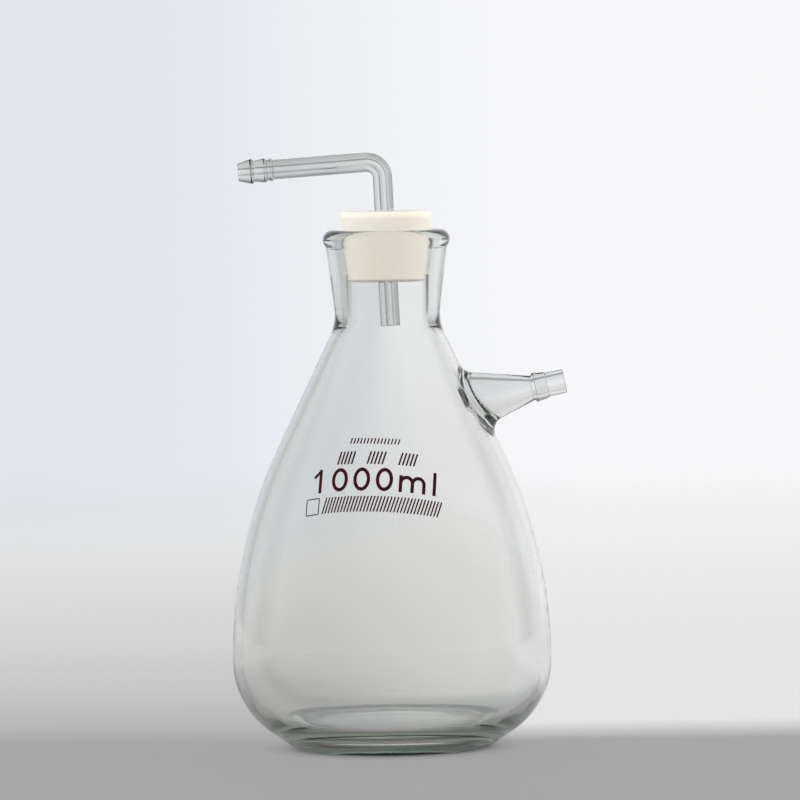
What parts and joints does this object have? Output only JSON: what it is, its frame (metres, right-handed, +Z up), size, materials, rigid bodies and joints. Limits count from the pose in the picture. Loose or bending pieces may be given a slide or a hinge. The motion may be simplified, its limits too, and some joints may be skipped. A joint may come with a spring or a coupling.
{
  "type": "vacuum trap bottle",
  "caption": "Conical thick-walled glass flask with a side arm, a tapered rubber stopper in its mouth and a right-angle glass tube with a barbed end through the stopper.",
  "frame": {"origin": "middle of the foot, on the surface the flask stands on", "axes": "+Z up along the flask's axis, +X towards the side arm, -X towards the bent tube's end"},
  "size_m": [0.139, 0.1312, 0.2445],
  "materials": {
    "flask_glass": "clear thick-walled glass with a slight grey-green tint",
    "tube_glass": "clear thick-walled glass",
    "rubber": "matte cream rubber"
  },
  "bodies": {
    "flask": {"flask": "flask_glass"},
    "stopper": {"stopper": "rubber"},
    "bent_tube": {"bent_tube": "tube_glass"}
  },
  "joints": [
    {"name": "stopper_lift", "type": "slide", "parent": "flask", "child": "stopper", "axis": [0, 0, 1], "range_m": [0, 0.06]},
    {"name": "tube_swivel", "type": "hinge", "parent": "stopper", "child": "bent_tube", "pos_m": [0, 0, 0.205], "axis": [-0.0401, 0, 0.9992], "continuous": true}
  ]
}
